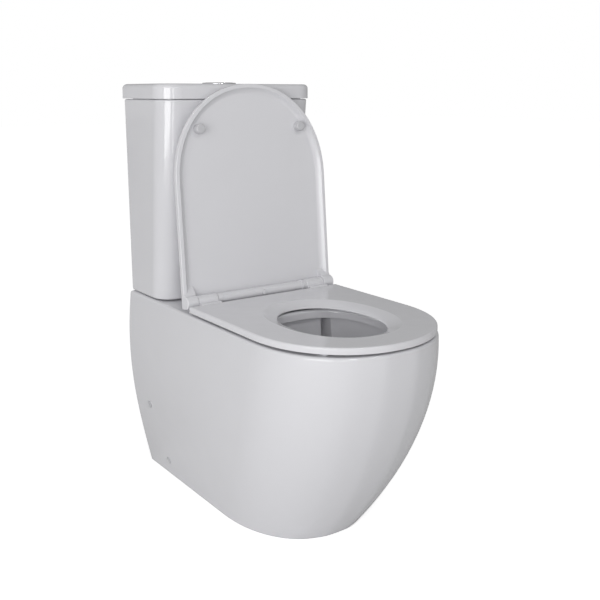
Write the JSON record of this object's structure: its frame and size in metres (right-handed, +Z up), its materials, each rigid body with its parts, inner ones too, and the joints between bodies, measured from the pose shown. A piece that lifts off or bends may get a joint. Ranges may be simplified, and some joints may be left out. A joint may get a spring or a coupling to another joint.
{
  "type": "close coupled toilet",
  "caption": "Close coupled toilet with a skirted back-to-wall pan, tapered cistern, dual flush buttons, slim soft-close seat and lid.",
  "frame": {"origin": "on the floor, under the middle of the bounding box", "axes": "+Z up, -Y towards the front of the bowl, +Y towards the wall behind, +X to the right seen from the front"},
  "size_m": [0.371, 0.69, 0.8515],
  "materials": {
    "ceramic": "gloss vitreous glaze",
    "seat_plastic": "smooth moulded thermoset, soft gloss",
    "hinge_plastic": "moulded white plastic",
    "buffer": "soft white elastomer",
    "black_rubber": "matt black rubber",
    "foam": "closed-cell sponge",
    "chrome": "polished chrome plate",
    "steel": "stainless steel",
    "brass": "plain brass",
    "valve_white": "moulded white plastic",
    "valve_blue": "moulded blue plastic",
    "valve_grey": "moulded grey plastic",
    "cap": "moulded light grey cap"
  },
  "bodies": {
    "fixed": {"pan": "ceramic", "cistern": "ceramic", "cistern_lid": "ceramic", "cistern_lid_pads": "buffer", "coupling_gasket": "foam", "cistern_pads": "black_rubber", "cistern_bolts": "steel", "cistern_bolt_seals": "black_rubber", "cistern_bolt_washers": "steel", "cistern_wing_nuts": "brass", "flush_valve_body": "valve_white", "flush_valve_washer": "black_rubber", "flush_valve_backnut": "valve_white", "button_bezel": "chrome", "button_nut": "valve_grey", "half_flush_spring": "steel", "full_flush_spring": "steel", "fill_valve_body": "valve_white", "fill_valve_washer": "black_rubber", "fill_valve_backnut": "valve_grey", "fill_valve_pin": "steel", "hinge_bar": "hinge_plastic", "soft_close_dampers": "valve_grey", "hinge_posts": "steel", "hinge_bolts": "steel", "hinge_plugs": "black_rubber", "hinge_plug_nuts": "brass", "floor_brackets": "valve_white", "side_screws": "steel", "side_screw_caps": "cap", "upper_side_caps": "cap"},
    "seat": {"seat": "seat_plastic", "seat_buffers": "buffer", "seat_damper_shaft": "steel"},
    "lid": {"lid": "seat_plastic", "lid_buffers": "buffer", "lid_damper_shaft": "steel"},
    "half_flush": {"half_flush_button": "chrome", "half_flush_rod": "valve_white"},
    "full_flush": {"full_flush_button": "chrome", "full_flush_rod": "valve_white"},
    "flush_lifter": {"flush_valve_lifter": "valve_blue", "flush_valve_seal": "black_rubber"},
    "float": {"fill_valve_float": "valve_grey"},
    "lever": {"fill_valve_lever": "valve_blue"},
    "release": {"release_button": "hinge_plastic"}
  },
  "joints": [
    {"name": "seat_hinge", "type": "hinge", "parent": "fixed", "child": "seat", "pos_m": [0, 0.093, 0.424], "axis": [1, 0, 0], "range_deg": [-95, 0]},
    {"name": "lid_hinge", "type": "hinge", "parent": "fixed", "child": "lid", "pos_m": [0, 0.093, 0.424], "axis": [1, 0, 0], "range_deg": [0, 95]},
    {"name": "half_flush_press", "type": "slide", "parent": "fixed", "child": "half_flush", "axis": [0, 0, -1], "range_m": [0, 0.005], "stiffness_N_per_m": 300, "springref_m": -0.003, "deforming": ["half_flush_spring"]},
    {"name": "full_flush_press", "type": "slide", "parent": "fixed", "child": "full_flush", "axis": [0, 0, -1], "range_m": [0, 0.005], "stiffness_N_per_m": 300, "springref_m": -0.003, "deforming": ["full_flush_spring"]},
    {"name": "flush_lift", "type": "slide", "parent": "fixed", "child": "flush_lifter", "axis": [0, 0, 1], "range_m": [0, 0.015]},
    {"name": "float_rise", "type": "slide", "parent": "fixed", "child": "float", "axis": [0, 0, 1], "range_m": [0, 0.018]},
    {"name": "lever_swing", "type": "hinge", "parent": "fixed", "child": "lever", "pos_m": [-0.11, 0.279, 0.712], "axis": [-1, 0, 0], "range_deg": [0, 30]},
    {"name": "release_press", "type": "slide", "parent": "fixed", "child": "release", "axis": [0, 1, 0], "range_m": [0, 0.002], "stiffness_N_per_m": 300, "springref_m": -0.002}
  ],
  "couplings": [
    {"joint": "flush_lift", "follows": "full_flush_press", "ratio": 3},
    {"joint": "lever_swing", "follows": "float_rise", "rad_per_m": 29}
  ]
}
